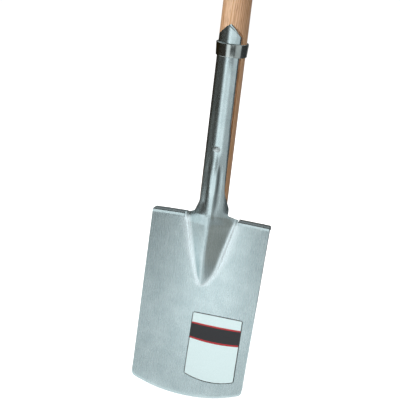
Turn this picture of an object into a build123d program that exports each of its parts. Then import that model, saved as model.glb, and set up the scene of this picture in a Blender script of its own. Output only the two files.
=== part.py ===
from build123d import *
import os
from math import cos, radians, sin, sqrt, tan

# A garden spade with a strapped blade and a T-grip. Lengths are in millimetres and angles in degrees.
# It stands upright on its cutting edge: +Z runs up the shaft and the blade's hollow front faces -Y.
# The pieces are drawn about the shaft's axis, then set back so that the origin is the middle of the
# cutting edge.

# Blade
BLADE_LENGTH = 266.0
TOP_WIDTH = 177.0
BOTTOM_WIDTH = 168.5
EDGE_BOW = 17.4
DISH_DEPTH = 6.5
BLADE_LEAN = 8.2
BLADE_THICKNESS = 2.4
BLADE_BEHIND_AXIS = 2.4
EDGE_BEVEL = 1.2
EDGE_CORNER_RADIUS = 5.0

# Frog, the hollow ridge that carries the strap's load into the blade
FROG_LENGTH = 103.0
FROG_HALF_WIDTH = 28.0
FROG_BLEND = 3.0

# Treads, bent back at the blade's top edge
TREAD_INNER = 41.0
TREAD_OUTER = 88.0
TREAD_DEPTH = 15.0
TREAD_THICKNESS = 5.0
TREAD_RISE = 2.7
TREAD_PROUD = 0.8
TREAD_BEND_RADIUS = 2.4
TREAD_CORNER_RADIUS = 4.0
SLIT_WIDTH = 2.2
SLIT_DEPTH = 4.0

# Front strap
STRAP_THICKNESS = 2.5
STRAP_HALF_ANGLE = 56.0
STRAP_LENGTH = 290.0
STRAP_POINT_HEIGHT = 18.0
STRAP_POINT_BOW = 1.5
FLARE_HALF_WIDTH = 34.0
FLARE_HEIGHT = 20.0
RIDGE_HEIGHT = 62.0

# Shaft
SHAFT_DIAMETER = 41.0
SHAFT_TOP_DIAMETER = 33.0
SHAFT_TAPER_LENGTH = 120.0
HANDLE_LENGTH = 850.0
SHAFT_END_DOWN = 78.0
SCARF_START_UP = 24.0
SCARF_END_Y = -4.0
FIT_GAP = 0.2
REBATE_REACH = 1.01

# Clamp ring and its nail
RING_UP = 242.6
RING_HEIGHT = 20.0
RING_THICKNESS = 2.4
RING_GAP = 0.1
RING_EDGE_RADIUS = 0.8
NAIL_RADIUS = 1.4
NAIL_LENGTH = 16.0
NAIL_HEAD_RADIUS = 3.2
NAIL_HEAD_HEIGHT = 1.3
NAIL_SEAT_DEPTH = 0.25

# Strap rivet and its washer
RIVET_UP = 108.8
RIVET_RADIUS = 3.0
RIVET_HEAD_RADIUS = 5.8
RIVET_HEAD_HEIGHT = 2.6
RIVET_TAIL_RADIUS = 5.0
RIVET_TAIL_HEIGHT = 2.4
RIVET_SEAT_DEPTH = 1.0
WASHER_RADIUS = 8.0
WASHER_THICKNESS = 1.5
WASHER_SEAT_DEPTH = 2.2
HOLE_GAP = 0.05

# T-grip
GRIP_LENGTH = 130.0
GRIP_ARM_RADIUS = 16.0
GRIP_BOSS_RADIUS = 19.0
GRIP_BOSS_LENGTH = 42.0
GRIP_NECK_LENGTH = 11.0
GRIP_NECK_RADIUS = 14.0
GRIP_END_RADIUS = 9.0
GRIP_SEAT_DROP = 12.0
GRIP_SEAT_WIDTH = 34.0
TENON_RADIUS = 11.0
WEDGE_DEPTH = 20.0
WEDGE_TOP_THICKNESS = 4.0
WEDGE_TIP_THICKNESS = 0.8
PIN_RADIUS = 2.5
PIN_DROP = 6.0

# Label on the blade's front
LABEL_CENTRE_X = 31.5
LABEL_WIDTH = 77.0
LABEL_TOP_DOWN = 139.5
LABEL_SIDE_DOWN = 232.5
LABEL_BOW = 7.5
LABEL_THICKNESS = 0.3
LABEL_GLUE = 0.1
LABEL_CORNER_RADIUS = 1.5

# Room for cuts, and places that follow from the sizes above
FAR = 60.0
TRIM = 6.0
FLANK_POINTS = 13
SHAFT_RADIUS = SHAFT_DIAMETER / 2
LEAN_SIN = sin(radians(BLADE_LEAN))
LEAN_COS = cos(radians(BLADE_LEAN))
LEAN_TAN = tan(radians(BLADE_LEAN))
TOP_EDGE_Z = BLADE_LENGTH * LEAN_COS
AXIS_SETBACK = BLADE_LENGTH * LEAN_SIN - BLADE_BEHIND_AXIS
DISH_RADIUS = (TOP_WIDTH**2 / 4 + DISH_DEPTH**2) / (2 * DISH_DEPTH)
RIDGE_OUT = (SHAFT_RADIUS + BLADE_BEHIND_AXIS) / LEAN_COS
FROG_SLOPE = RIDGE_OUT / FROG_HALF_WIDTH
RIVET_Z = TOP_EDGE_Z + RIVET_UP
RIVET_SEAT_Y = RIVET_SEAT_DEPTH - SHAFT_RADIUS
WASHER_SEAT_Y = SHAFT_RADIUS - WASHER_SEAT_DEPTH
RING_Z = TOP_EDGE_Z + RING_UP + RING_HEIGHT / 2
RING_OUTER_RADIUS = SHAFT_RADIUS + RING_GAP + RING_THICKNESS
NAIL_SEAT_Y = RING_OUTER_RADIUS - NAIL_SEAT_DEPTH
GRIP_Z = TOP_EDGE_Z + HANDLE_LENGTH - GRIP_BOSS_RADIUS
SEAT_Z = GRIP_Z - GRIP_SEAT_DROP
GRIP_TOP_Z = GRIP_Z + GRIP_BOSS_RADIUS

# The blade's own plane: X across, Y up the face to the top edge, Z out to the front.
BLADE_PLANE = Plane(
    origin=(0, BLADE_BEHIND_AXIS, TOP_EDGE_Z),
    x_dir=(1, 0, 0),
    z_dir=(0, -LEAN_COS, LEAN_SIN),
)


def spread(start, end, count):
    """Evenly spaced values from start to end."""
    return [start + (end - start) * i / (count - 1) for i in range(count)]


def mirrored(run):
    """The same places on the left, from the outside in."""
    return [-x for x in reversed(run)]


def on_blade(x, down, out):
    """The point at x across the blade, down from its top edge and out from its plane."""
    return BLADE_PLANE.from_local_coords(Vector(x, -down, out))


def dish(x):
    """How far the dished front stands forward of its middle."""
    return DISH_RADIUS - sqrt(DISH_RADIUS**2 - x * x)


def front(x, down):
    """How far the front stands out: the dish, and the frog's two flanks running out softly into it."""
    flank = RIDGE_OUT * (1 - down / FROG_LENGTH) - FROG_SLOPE * abs(x)
    return dish(x) + (flank + sqrt(flank**2 + FROG_BLEND**2)) / 2


def curve(points):
    """A smooth curve, evenly paced, whose ends keep the direction of their last two points."""
    ends = (points[1] - points[0], points[-1] - points[-2])
    return Edge.make_spline(points, tangents=ends, parameters=spread(0, 1, len(points)))


def band(outer, inner):
    """A face between a chain of outer curves and the matching chain of inner curves."""
    rails = [curve(run) for run in outer + inner]
    ends = [Line(outer[0][0], inner[0][0]), Line(outer[-1][-1], inner[-1][-1])]
    return Face(Wire(rails + ends))


def sheet_section(runs, down, outer_out, inner_out):
    """A cut across the blade's sheet between two distances out from its front."""
    chains = []
    for out in (outer_out, inner_out):
        chains.append([[on_blade(x, down, front(x, down) + out) for x in run] for run in runs])
    return band(*chains)


def blade_section(down):
    """The blade's cut across, split beside the frog where the strap joins it."""
    half = TOP_WIDTH / 2 + TRIM
    wing = spread(FLARE_HALF_WIDTH, half, 7)
    flank = spread(0, FLARE_HALF_WIDTH, FLANK_POINTS)
    runs = [mirrored(wing), mirrored(flank), flank, wing]
    return sheet_section(runs, down, 0, -BLADE_THICKNESS)


def blade_outline():
    """The blade's outline, a taper with a bowed cutting edge, as a thick block."""
    side_end = EDGE_BOW - BLADE_LENGTH
    half = BOTTOM_WIDTH / 2
    top_half = TOP_WIDTH / 2 + (TOP_WIDTH / 2 - half) * TRIM / -side_end
    edge = ThreePointArc((-half, side_end), (0, -BLADE_LENGTH), (half, side_end))
    rest = Polyline((half, side_end), (top_half, TRIM), (-top_half, TRIM), (-half, side_end))
    face = make_face(edge + rest)
    corners = face.vertices().sort_by(Axis.Y)[:2]
    return extrude(BLADE_PLANE * fillet(corners, EDGE_CORNER_RADIUS), amount=FAR, both=True)


def on_front(edge):
    """Whether an edge of the plate lies on the blade's front."""
    place = BLADE_PLANE.to_local_coords(edge @ 0.5)
    return abs(place.Z - front(place.X, -place.Y)) < BLADE_THICKNESS / 4


def blade_plate():
    """Dished blade and frog, trimmed to the outline and ground along the edge, with slits by the treads."""
    plate = loft([blade_section(down) for down in spread(0, BLADE_LENGTH + TRIM, 31)])
    plate &= blade_outline()
    cutting_edge = plate.faces().sort_by(Axis.Z)[0].edges()
    plate = chamfer(cutting_edge.filter_by(on_front), EDGE_BEVEL)
    slit = Box(SLIT_WIDTH, FAR, 2 * SLIT_DEPTH)
    for side in (-1, 1):
        plate -= Pos(side * (TREAD_INNER - SLIT_WIDTH / 2), 0, TOP_EDGE_Z) * slit
    return plate


def strap_point(u, up, depth):
    """A place on the strap: u from ridge to side, up from the blade, depth in thicknesses behind."""
    x = FLARE_HALF_WIDTH * u
    flared = on_blade(x, 0, front(x, 0) - depth * BLADE_THICKNESS)
    radius = SHAFT_RADIUS - depth * STRAP_THICKNESS
    angle = radians(STRAP_HALF_ANGLE * u)
    settle_height = RIDGE_HEIGHT + (FLARE_HEIGHT - RIDGE_HEIGHT) * min(u, 1)
    flare = max(1 - up / settle_height, 0) ** 2
    px = flared.X * flare + radius * sin(angle) * (1 - flare)
    py = flared.Y * flare - radius * cos(angle) * (1 - flare)
    tilt = LEAN_TAN * (1 - up / RIDGE_HEIGHT)
    return Vector(px, py, TOP_EDGE_Z + up + (BLADE_BEHIND_AXIS - py) * tilt)


def strap_section(up, depths, reach):
    """The strap's cut across at one height, between two depths and out to a share of its half width."""
    chains = []
    for depth in depths:
        right = [strap_point(u, up, depth) for u in spread(0, reach, FLANK_POINTS)]
        left = [Vector(-p.X, p.Y, p.Z) for p in reversed(right)]
        chains.append([left, right])
    return band(*chains)


def strap_front(grow):
    """The round part of the strap with its pointed end, seen from the front and grown, as a thick block."""
    half = SHAFT_RADIUS * sin(radians(STRAP_HALF_ANGLE)) + grow
    tip = TOP_EDGE_Z + STRAP_LENGTH + grow
    shoulder = tip - STRAP_POINT_HEIGHT
    foot = TOP_EDGE_Z + RIDGE_HEIGHT
    middle_x = half / 2 + STRAP_POINT_BOW
    middle_z = (tip + shoulder) / 2 + STRAP_POINT_BOW
    right = ThreePointArc((half, shoulder), (middle_x, middle_z), (0, tip))
    left = ThreePointArc((-half, shoulder), (-middle_x, middle_z), (0, tip))
    sides = Polyline((half, shoulder), (half, foot), (-half, foot), (-half, shoulder))
    return extrude(Plane.XZ * make_face(right + left + sides), amount=FAR)


def strap(depths=(0, 1), reach=1.0, grow=0.0):
    """Front strap: flared and ridged at the blade, round higher up, pointed at its end."""
    ups = [RIDGE_HEIGHT * share**1.5 for share in spread(0, 1, 11)]
    sections = [strap_section(up, depths, reach) for up in ups]
    tube = extrude(sections[-1], amount=STRAP_LENGTH, dir=(0, 0, 1))
    return loft(sections, ruled=True) + (tube & strap_front(grow))


def tread(side):
    """One tread: a step bent back from the blade's top edge, rounded along its front."""
    xs = (TREAD_INNER, (TREAD_INNER + TREAD_OUTER) / 2, TREAD_OUTER)
    fronts = [(side * x, BLADE_BEHIND_AXIS - dish(x) * LEAN_COS - TREAD_PROUD) for x in xs]
    backs = [(x, y + TREAD_DEPTH) for x, y in fronts]
    ends = Line(fronts[0], backs[0]) + Line(fronts[2], backs[2])
    face = make_face(ThreePointArc(*fronts) + ThreePointArc(*backs) + ends)
    face = fillet(face.vertices().sort_by(Axis.Y)[2:], TREAD_CORNER_RADIUS)
    bottom = TOP_EDGE_Z + TREAD_RISE - TREAD_THICKNESS
    step = extrude(Pos(0, 0, bottom) * face, amount=TREAD_THICKNESS)
    bend = step.faces().sort_by(Axis.Z)[-1].edges().sort_by(Axis.Y)[0]
    return fillet(bend, TREAD_BEND_RADIUS)


def across(radius, y_from, y_to, z):
    """A round bar along Y that crosses the shaft's axis at a height."""
    bar = Cylinder(radius, y_to - y_from, align=(Align.CENTER, Align.CENTER, Align.MIN))
    return Pos(0, y_from, z) * Rot(-90, 0, 0) * bar


def dome(radius, height, y, z, facing):
    """A domed head on the plane at y, standing out towards facing, -1 or 1."""
    ball_radius = (radius**2 + height**2) / (2 * height)
    ball = Pos(0, y + facing * (height - ball_radius), z) * Sphere(ball_radius)
    y_end = y + facing * height
    return ball & across(radius, min(y, y_end), max(y, y_end), z)


def upright(radius, z_from, z_to):
    """A round bar about the shaft's axis."""
    bar = Cylinder(radius, z_to - z_from, align=(Align.CENTER, Align.CENTER, Align.MIN))
    return Pos(0, 0, z_from) * bar


def grip_round(radius):
    """A round bar along the grip."""
    return Pos(0, 0, GRIP_Z) * Rot(0, 90, 0) * Cylinder(radius, GRIP_LENGTH)


def blade():
    """The forging: plate, strap and treads in one piece, with the rivet's hole and flat seat."""
    forging = blade_plate() + strap() + tread(-1) + tread(1)
    forging -= across(RIVET_HEAD_RADIUS + FIT_GAP, -FAR, RIVET_SEAT_Y, RIVET_Z)
    return forging - across(RIVET_RADIUS + HOLE_GAP, -FAR, 0, RIVET_Z)


def strap_rebate():
    """What the strap and the frog take out of the shaft, with a little room."""
    depths = (-SHAFT_RADIUS / STRAP_THICKNESS, 1 + FIT_GAP / STRAP_THICKNESS)
    flank = spread(0, FLARE_HALF_WIDTH * REBATE_REACH, FLANK_POINTS)
    outs = [-depth * BLADE_THICKNESS for depth in depths]
    downs = spread(0, SHAFT_END_DOWN + 2 * TRIM, 11)
    hollow = loft([sheet_section([mirrored(flank), flank], down, *outs) for down in downs])
    return hollow + strap(depths, REBATE_REACH, FIT_GAP)


def wedge_block(half_width):
    """The wedge's taper, wide enough to cut its kerf."""
    top, tip = WEDGE_TOP_THICKNESS / 2, WEDGE_TIP_THICKNESS / 2
    low = GRIP_TOP_Z - WEDGE_DEPTH
    taper = Polyline((-top, GRIP_TOP_Z), (top, GRIP_TOP_Z), (tip, low), (-tip, low), close=True)
    return extrude(Plane.XZ * make_face(taper), amount=half_width, both=True)


def shaft():
    """Ash shaft: scarfed end in the frog, rebate for the strap, taper and tenon at the grip."""
    end_z, taper_z = TOP_EDGE_Z - SHAFT_END_DOWN, SEAT_Z - SHAFT_TAPER_LENGTH
    taper = Cone(
        SHAFT_RADIUS,
        SHAFT_TOP_DIAMETER / 2,
        SHAFT_TAPER_LENGTH,
        align=(Align.CENTER, Align.CENTER, Align.MIN),
    )
    wood = upright(SHAFT_RADIUS, end_z, taper_z) + Pos(0, 0, taper_z) * taper
    wood += upright(TENON_RADIUS, SEAT_Z, GRIP_TOP_Z) & grip_round(GRIP_BOSS_RADIUS)
    wood -= strap_rebate()
    start_z = TOP_EDGE_Z + SCARF_START_UP
    corners = [(SHAFT_RADIUS, start_z), (SCARF_END_Y, end_z), (FAR, end_z), (FAR, start_z)]
    wood -= extrude(Plane.YZ * make_face(Polyline(*corners, close=True)), amount=FAR, both=True)
    wood -= across(RIVET_RADIUS + HOLE_GAP, -FAR, FAR, RIVET_Z)
    wood -= across(WASHER_RADIUS + FIT_GAP, WASHER_SEAT_Y, FAR, RIVET_Z)
    wood -= across(NAIL_RADIUS + HOLE_GAP, NAIL_SEAT_Y - NAIL_LENGTH, FAR, RING_Z)
    wood -= across(PIN_RADIUS + HOLE_GAP, -FAR, FAR, GRIP_Z - PIN_DROP)
    return wood - wedge_block(FAR)


def clamp_ring():
    """Steel ring round strap and shaft, its edges eased, with the nail's hole and flat seat."""
    ring = upright(RING_OUTER_RADIUS, RING_Z - RING_HEIGHT / 2, RING_Z + RING_HEIGHT / 2)
    ring = fillet(ring.edges().filter_by(GeomType.CIRCLE), RING_EDGE_RADIUS)
    ring -= upright(SHAFT_RADIUS + RING_GAP, RING_Z - RING_HEIGHT, RING_Z + RING_HEIGHT)
    ring -= across(NAIL_HEAD_RADIUS + HOLE_GAP, NAIL_SEAT_Y, FAR, RING_Z)
    return ring - across(NAIL_RADIUS + HOLE_GAP, 0, FAR, RING_Z)


def ring_nail():
    """Short round-headed nail through the back of the ring."""
    head = dome(NAIL_HEAD_RADIUS, NAIL_HEAD_HEIGHT, NAIL_SEAT_Y, RING_Z, 1)
    return head + across(NAIL_RADIUS, NAIL_SEAT_Y - NAIL_LENGTH, NAIL_SEAT_Y, RING_Z)


def strap_rivet():
    """Rivet through strap and shaft, domed in front and closed over the washer behind."""
    tail_y = WASHER_SEAT_Y + WASHER_THICKNESS
    head = dome(RIVET_HEAD_RADIUS, RIVET_HEAD_HEIGHT, RIVET_SEAT_Y, RIVET_Z, -1)
    tail = dome(RIVET_TAIL_RADIUS, RIVET_TAIL_HEIGHT, tail_y, RIVET_Z, 1)
    return head + across(RIVET_RADIUS, RIVET_SEAT_Y, tail_y, RIVET_Z) + tail


def rivet_washer():
    """Flat washer let into the back of the shaft under the rivet's closed end."""
    tail_y = WASHER_SEAT_Y + WASHER_THICKNESS
    disc = across(WASHER_RADIUS, WASHER_SEAT_Y, tail_y, RIVET_Z)
    return disc - across(RIVET_RADIUS + HOLE_GAP, 0, FAR, RIVET_Z)


def grip_bar():
    """Turned crossbar of the T-grip: two round arms and a thicker boss bored for the tenon."""
    half, boss = GRIP_LENGTH / 2, GRIP_BOSS_LENGTH / 2
    neck = boss + GRIP_NECK_LENGTH
    side = [(boss, GRIP_BOSS_RADIUS), (neck, GRIP_ARM_RADIUS), (half, GRIP_ARM_RADIUS), (half, 0)]
    other = [(-x, r) for x, r in reversed(side)]
    profile = make_face(Polyline(*side, *other, close=True))
    rounded = {half: GRIP_END_RADIUS, neck: GRIP_NECK_RADIUS, boss: GRIP_NECK_RADIUS}
    for x, radius in rounded.items():
        at_x = [v for v in profile.vertices() if abs(abs(v.X) - x) < 0.01 and v.Y > 1]
        profile = fillet(at_x, radius)
    bar = Pos(0, 0, GRIP_Z) * revolve(profile, Axis.X)
    seat = Box(GRIP_SEAT_WIDTH, FAR, FAR, align=(Align.CENTER, Align.CENTER, Align.MAX))
    bar -= Pos(0, 0, SEAT_Z) * seat
    bar -= upright(TENON_RADIUS + HOLE_GAP, SEAT_Z - FAR, GRIP_TOP_Z + FAR)
    return bar - across(PIN_RADIUS + HOLE_GAP, -FAR, FAR, GRIP_Z - PIN_DROP)


def grip_wedge():
    """Hardwood wedge driven into the tenon and trimmed flush with the boss."""
    inside = upright(TENON_RADIUS, SEAT_Z, GRIP_TOP_Z) & grip_round(GRIP_BOSS_RADIUS)
    return wedge_block(FAR) & inside


def grip_pin():
    """Pin across boss and tenon, trimmed flush."""
    return across(PIN_RADIUS, -FAR, FAR, GRIP_Z - PIN_DROP) & grip_round(GRIP_BOSS_RADIUS)


def label():
    """Paper sticker on the blade's front, its lower edge bowed like the cutting edge."""
    half = LABEL_WIDTH / 2
    left, right = LABEL_CENTRE_X - half, LABEL_CENTRE_X + half
    side, low = -LABEL_SIDE_DOWN, -LABEL_SIDE_DOWN - LABEL_BOW
    bow = ThreePointArc((left, side), (LABEL_CENTRE_X, low), (right, side))
    top = -LABEL_TOP_DOWN
    rest = Polyline((right, side), (right, top), (left, top), (left, side))
    outline = make_face(bow + rest)
    outline = fillet(outline.vertices(), LABEL_CORNER_RADIUS)
    runs = [spread(left - TRIM, 0, 5), spread(0, right + TRIM, 15)]
    out = LABEL_GLUE + LABEL_THICKNESS
    downs = spread(LABEL_TOP_DOWN - TRIM, LABEL_SIDE_DOWN + LABEL_BOW + TRIM, 9)
    paper = loft([sheet_section(runs, down, out, LABEL_GLUE) for down in downs])
    return paper & extrude(BLADE_PLANE * outline, amount=FAR, both=True)


PIECES = [
    blade,
    shaft,
    clamp_ring,
    ring_nail,
    strap_rivet,
    rivet_washer,
    grip_bar,
    grip_wedge,
    grip_pin,
    label,
]

os.makedirs("parts", exist_ok=True)
for make in PIECES:
    piece = Pos(0, AXIS_SETBACK, 0) * make()
    piece.label = make.__name__
    export_step(piece, f"parts/{make.__name__}.step")
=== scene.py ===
import math

import bpy
from mathutils import Matrix, Vector


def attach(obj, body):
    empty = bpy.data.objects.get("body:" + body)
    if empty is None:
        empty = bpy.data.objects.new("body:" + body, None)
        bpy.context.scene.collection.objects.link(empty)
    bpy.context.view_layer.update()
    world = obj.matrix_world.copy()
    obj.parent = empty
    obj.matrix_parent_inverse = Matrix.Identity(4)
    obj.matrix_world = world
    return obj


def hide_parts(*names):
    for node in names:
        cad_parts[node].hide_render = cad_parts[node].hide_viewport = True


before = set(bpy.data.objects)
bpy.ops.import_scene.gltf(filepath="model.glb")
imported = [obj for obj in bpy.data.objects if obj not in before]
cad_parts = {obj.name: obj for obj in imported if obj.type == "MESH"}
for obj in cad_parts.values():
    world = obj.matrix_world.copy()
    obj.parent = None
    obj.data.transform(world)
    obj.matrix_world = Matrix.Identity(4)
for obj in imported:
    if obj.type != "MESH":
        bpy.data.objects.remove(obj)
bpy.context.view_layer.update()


# Blade with frog, treads and strap: one carbon steel forging, pressed to a shallow dish, with its frog raised
# over the shaft's end and its strap drawn out to a point. It is ground and brushed lengthways to a satin
# finish, and rivet and ring hold the strap on the shaft. Sizes are in millimetres.
MM = 0.001
BLADE_LENGTH = 266.0
BLADE_LEAN = math.radians(8.2)
BLADE_TOP_HALF = 88.5
BLADE_BOTTOM_HALF = 84.25
BLADE_BEHIND_AXIS = 2.4
DISH_RADIUS = 605.7
SHEET = 2.4
SHEET_EDGE_ROUND = 0.35
SHEET_SHARP_ANGLE = math.radians(55.0)
SMOOTH_ANGLE = math.radians(32.0)
SEAM_GAP = 0.02
EDGE_BOW = 17.4
EDGE_CORNER = 5.0
EDGE_BEVEL = 2.4
EDGE_GROUND = 0.9
TOP_EDGE = BLADE_LENGTH * math.cos(BLADE_LEAN)
SHAFT_BACK = BLADE_LENGTH * math.sin(BLADE_LEAN) - BLADE_BEHIND_AXIS

BEND_RISE = 6.0
BEND_LOWER_BY_TREADS = 0.1
BEND_LOWERS_FROM = 28.0
BEND_FADE = 40.0
FROG_LENGTH = 104.0
FROG_LEFT_HALF = 36.3
FROG_RIGHT_HALF = 35.2
FROG_LEFT_TAPER = 0.305
FROG_RIGHT_TAPER = 0.188
FROG_RIGHT_CURVE = 0.0045
FROG_CURVE_START = 60.0
FROG_BLEND = 3.6
FROG_TIP_BLEND = 1.6
FROG_BLEND_NARROWS = 50.0
FROG_TIP_START = 86.0
FROG_TIP_POWER = 2.2
ARCH_FADE = 14.0
ARCH_POWER = 1.5
RIDGE_ROUND = 2.4
RIDGE_ASIDE = -1.0
RIDGE_LEAVES = 10.0
RIDGE_SETTLES = 60.0
RIDGE_FALL = 0.178
RIDGE_CURVE = 0.0022
# The painted highlight along the frog's fillet: where it starts and ends beside the fillet, and how far up it
# fades in.
HIGHLIGHT_INSIDE = (0.9, -0.3)
HIGHLIGHT_OUTSIDE = (-3.4, -0.5)
HIGHLIGHT_TOP = 12.0

STRAP_RADIUS = 20.65
STRAP_LEFT_HALF = STRAP_RADIUS * math.sin(math.radians(68.0))
STRAP_RIGHT_HALF = STRAP_RADIUS * math.sin(math.radians(56.5))
STRAP_TWIST = math.radians(-3.0)
STRAP_LENGTH = 290.0
STRAP_POINT = 17.5
STRAP_TIP_HALF = 2.2
STRAP_TIP_ROUND = 1.5
STRAP_TIP_ROUNDS_OVER = 5.0
STRAP_DRAWN_IN = 1.4
STRAP_DRAWN_IN_OVER = (105.0, 150.0)
STRAP_SPREAD = 1.1
STRAP_SPREAD_OVER = (60.0, 120.0)
ROLLED_WIDTH = 1.4
ROLLED_CURL = 0.6
ROLLED_OVER = (40.0, 70.0)
WRAP_START = 16.5
WRAP_CURL = 0.09
WRAP_OVER = (3.0, 15.0)
FLARE_HALF_WIDTH = 36.0
FLARE_ANGLE = math.radians(41.0)
FLARE_HEIGHT = 24.0
FLARE_CORNER = 5.5
LEFT_FLARE = 0.5
LEFT_FLARE_POWER = 1.2
LEFT_CORNER = 0.5
RIGHT_FLARE = 0.36
RIGHT_FLARE_OVER = (10.0, 46.0)
RIGHT_FOOT = 0.08
RIGHT_FOOT_HEIGHT = 20.0
RIGHT_CORNER = 0.56

RIB_HEIGHT = 2.7
RIB_END = 104.0
RIB_FADES_FROM = 66.0
RIB_GROWS_OVER = (-20.0, 4.0)
RIB_SHIFTS_OVER = (0.0, 60.0)
RIB_WIDENS_OVER = (22.0, 56.0)
RIB_LEFT_FOOT = -8.0
RIB_LEFT_TOP = 1.0
RIB_LEFT_TOP_SHIFT = 4.2
RIB_RIGHT_TOP = 3.2
RIB_RIGHT_TOP_SHIFT = 2.6
RIB_RIGHT_FOOT = 8.6
RIB_RIGHT_FOOT_SHIFT = 1.4
FLAT_DEPTH = 2.0
FLAT_NEAR = 4.8
FLAT_DEEPEST = 9.8
FLAT_FAR = 17.5
FLATS_GROW_OVER = (0.0, 22.0)

SLIT_INNER = 40.0
SLIT_OUTER = 40.8
SLIT_WALL = 0.2
SLIT_MARGIN = 1.6
SLIT_DEPTH = 3.6
SLIT_SUNK = 1.6
TREAD_INNER = 40.3
TREAD_INNER_SKEW = 1.6
TREAD_OUTER = 88.2
TREAD_DEPTH = 15.0
TREAD_THICKNESS = 5.0
TREAD_RISE = 2.7
TREAD_PROUD = 0.8
TREAD_BACK_CORNER = 3.0
TREAD_FRONT_ROUND = 1.4
TREAD_EDGE_ROUND = 0.4
TREAD_SHARP_ANGLE = math.radians(50.0)
TREAD_CUTS = 8
TREAD_CUT_MARGIN = 4.0
TREAD_LIP = 0.8
TREAD_LIP_CUTS = (1.8, 0.9)
TREAD_LIP_WIDTH = 1.0
NEARLY = 0.1


def smooth_step(low, high, value):
    """Runs smoothly from 0 at low to 1 at high."""
    t = min(max((value - low) / (high - low), 0.0), 1.0)
    return t * t * (3.0 - 2.0 * t)


def dish(x):
    """How far the dished sheet stands out, x away from its middle line."""
    return DISH_RADIUS - math.sqrt(DISH_RADIUS ** 2 - x * x)


def rib(x, up):
    """Height of the rib on the strap's foot, between two pressed flats. It dies out above and on the frog."""
    fade = 1.0 - smooth_step(RIB_FADES_FROM, RIB_END, up)
    shift = smooth_step(*RIB_SHIFTS_OVER, up)
    widen = smooth_step(*RIB_WIDENS_OVER, up)
    left_side = smooth_step(RIB_LEFT_FOOT, RIB_LEFT_TOP - RIB_LEFT_TOP_SHIFT * shift, x)
    right_top = RIB_RIGHT_TOP + RIB_RIGHT_TOP_SHIFT * widen
    right_side = 1.0 - smooth_step(right_top, RIB_RIGHT_FOOT + RIB_RIGHT_FOOT_SHIFT * shift, x)
    pressed = smooth_step(FLAT_NEAR, FLAT_DEEPEST, abs(x)) - smooth_step(FLAT_DEEPEST, FLAT_FAR, abs(x))
    raised = RIB_HEIGHT * smooth_step(*RIB_GROWS_OVER, up) * (left_side * right_side)
    return fade * (raised - FLAT_DEPTH * smooth_step(*FLATS_GROW_OVER, up) * pressed)


def bend_rise(x):
    """How far above the blade's top edge the bend lies: highest on the frog, lower by the treads."""
    return BEND_RISE * (1.0 - BEND_LOWER_BY_TREADS * smooth_step(BEND_LOWERS_FROM, SLIT_INNER, abs(x)))


def filleted(height, fillet):
    """A height above the dish, with a round fillet where it runs out."""
    if abs(height) < fillet:
        return (height + fillet) ** 2 / (4.0 * fillet)
    return max(height, 0.0)


def bend_front(x):
    """How far the front stands out at the bend: the strap's round, with straight sides to the blade."""
    behind = BLADE_BEHIND_AXIS + BEND_RISE * math.sin(BLADE_LEAN)
    inside = min(abs(x), STRAP_RADIUS * math.sin(FLARE_ANGLE))
    tube = (behind + math.sqrt(STRAP_RADIUS ** 2 - inside * inside)) / math.cos(BLADE_LEAN)
    return dish(x) + filleted(tube - (abs(x) - inside) * math.tan(FLARE_ANGLE), FROG_BLEND)


def frog_height(x, below):
    """How high the frog's two facets stand above the dish, negative beside them, and their fillet's size."""
    t = min(max((below - FROG_TIP_START) / (FROG_LENGTH - FROG_TIP_START), 0.0), 1.0)
    tip = math.sqrt(1.0 - t ** FROG_TIP_POWER)
    along = min(below, FROG_LENGTH)
    curved = max(along - FROG_CURVE_START, 0.0) ** 2
    crest = bend_front(0.0) - RIDGE_FALL * along - RIDGE_CURVE * curved
    ridge = RIDGE_ASIDE * smooth_step(RIDGE_LEAVES, RIDGE_SETTLES, below)
    side = FROG_RIGHT_HALF - FROG_RIGHT_TAPER * along - FROG_RIGHT_CURVE * curved
    if x < ridge:
        side = FROG_LEFT_HALF - FROG_LEFT_TAPER * along
    half = side - math.copysign(ridge, x - ridge) - RIDGE_ROUND
    fall = crest / half * (math.hypot(x - ridge, RIDGE_ROUND) - RIDGE_ROUND)
    narrowed = smooth_step(FROG_BLEND_NARROWS, FROG_LENGTH, along)
    blend = FROG_BLEND + (FROG_TIP_BLEND - FROG_BLEND) * narrowed
    return crest * tip - fall - max(below - FROG_LENGTH, 0.0), blend


def painted_fillet_highlight(x, down):
    """How much of the painted highlight the steel's colour gets: most along the foot of the frog's fillet, less
    beside it.
    """
    below = down + bend_rise(x)
    height, blend = frog_height(x, below)
    aside = height / blend
    beside = smooth_step(*HIGHLIGHT_INSIDE, aside) * smooth_step(*HIGHLIGHT_OUTSIDE, aside)
    return beside * smooth_step(0.0, HIGHLIGHT_TOP, below)


def blade_front(x, down):
    """How far the blade's front stands out from its flat plane: the dish and the frog with its blunt tip."""
    below = down + bend_rise(x)
    height, blend = frog_height(x, below)
    frog = dish(x) + filleted(height, blend)
    arch = max(1.0 - below / ARCH_FADE, 0.0) ** ARCH_POWER
    return frog + (bend_front(x) - frog) * arch


def on_blade(x, down, out):
    """The place x across, down from the top edge and out from the blade's flat plane, in metres."""
    y = BLADE_BEHIND_AXIS - down * math.sin(BLADE_LEAN) - out * math.cos(BLADE_LEAN)
    z = TOP_EDGE - down * math.cos(BLADE_LEAN) + out * math.sin(BLADE_LEAN)
    return Vector((x, y + SHAFT_BACK, z)) * MM


def cutting_edge(x, half):
    """How far down the bowed cutting edge lies, with its rounded corners."""
    bow_radius = (BLADE_BOTTOM_HALF ** 2 + EDGE_BOW ** 2) / (2.0 * EDGE_BOW)
    down = BLADE_LENGTH - bow_radius + math.sqrt(bow_radius ** 2 - x * x)
    into = max(abs(x) - (half - EDGE_CORNER), 0.0)
    return down - (EDGE_CORNER - math.sqrt(max(EDGE_CORNER ** 2 - into * into, 0.0)))


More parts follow.
